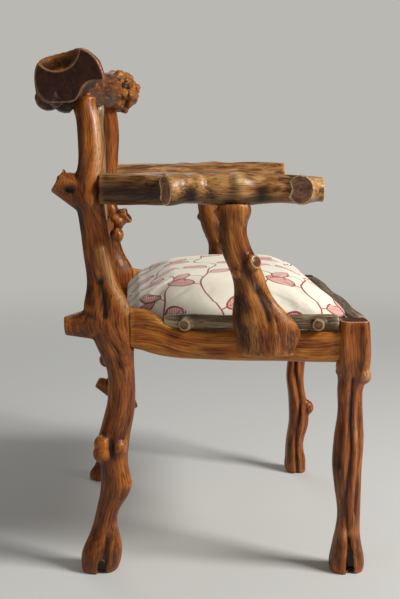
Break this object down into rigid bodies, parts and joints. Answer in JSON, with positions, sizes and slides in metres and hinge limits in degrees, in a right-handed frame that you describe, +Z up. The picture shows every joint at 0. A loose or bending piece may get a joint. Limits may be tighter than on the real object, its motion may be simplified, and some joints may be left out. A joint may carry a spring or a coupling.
{
  "type": "twig armchair",
  "caption": "Rustic armchair of crooked polished boughs with pegged joints, lopped stubs, hoofed feet, a burled crest and a domed upholstered seat.",
  "frame": {"origin": "on the floor, under the middle of the chair's plan", "axes": "+Z up, the sitter faces -Y, -X is the sitter's right hand"},
  "size_m": [0.6947, 0.5484, 0.8647],
  "materials": {
    "polished_bough": "oiled and polished",
    "crest_bough": "oiled and polished",
    "arm_bough": "oiled and polished",
    "thin_bough": "oiled",
    "peg_wood": "satin",
    "frame_softwood": "sawn",
    "screw_steel": "plain",
    "pin_steel": "dull",
    "tack_steel": "blued",
    "printed_cotton": "printed weave",
    "stuffing": "felted",
    "hessian": "coarse weave",
    "webbing": "woven strap"
  },
  "bodies": {
    "root": {"arm_left": "arm_bough", "arm_pegs": "peg_wood", "arm_right": "arm_bough", "arm_support_left": "polished_bough", "arm_support_right": "polished_bough", "back_pegs": "peg_wood", "back_post_left": "polished_bough", "back_post_right": "polished_bough", "back_seat_rail": "polished_bough", "back_twig_left": "thin_bough", "back_twig_middle": "thin_bough", "back_twig_right": "thin_bough", "brace_screws": "screw_steel", "corner_brace_back_left": "frame_softwood", "corner_brace_back_right": "frame_softwood", "corner_brace_front_left": "frame_softwood", "corner_brace_front_right": "frame_softwood", "crest_pegs": "peg_wood", "crest_rail": "crest_bough", "front_leg_left": "polished_bough", "front_leg_right": "polished_bough", "front_seat_rail": "polished_bough", "hem_tacks": "tack_steel", "lower_back_rail": "crest_bough", "rail_pegs": "peg_wood", "seat_cover": "printed_cotton", "seat_frame_back": "frame_softwood", "seat_frame_front": "frame_softwood", "seat_frame_left": "frame_softwood", "seat_frame_right": "frame_softwood", "seat_hessian": "hessian", "seat_screws": "screw_steel", "seat_stuffing": "stuffing", "seat_twig_front": "thin_bough", "seat_twig_left": "thin_bough", "seat_twig_right": "thin_bough", "seat_webbing_cross": "webbing", "seat_webbing_long": "webbing", "side_seat_rail_left": "polished_bough", "side_seat_rail_right": "polished_bough", "support_pegs": "peg_wood", "support_screws": "screw_steel", "twig_pins": "pin_steel", "webbing_tacks": "tack_steel"}
  },
  "joints": []
}
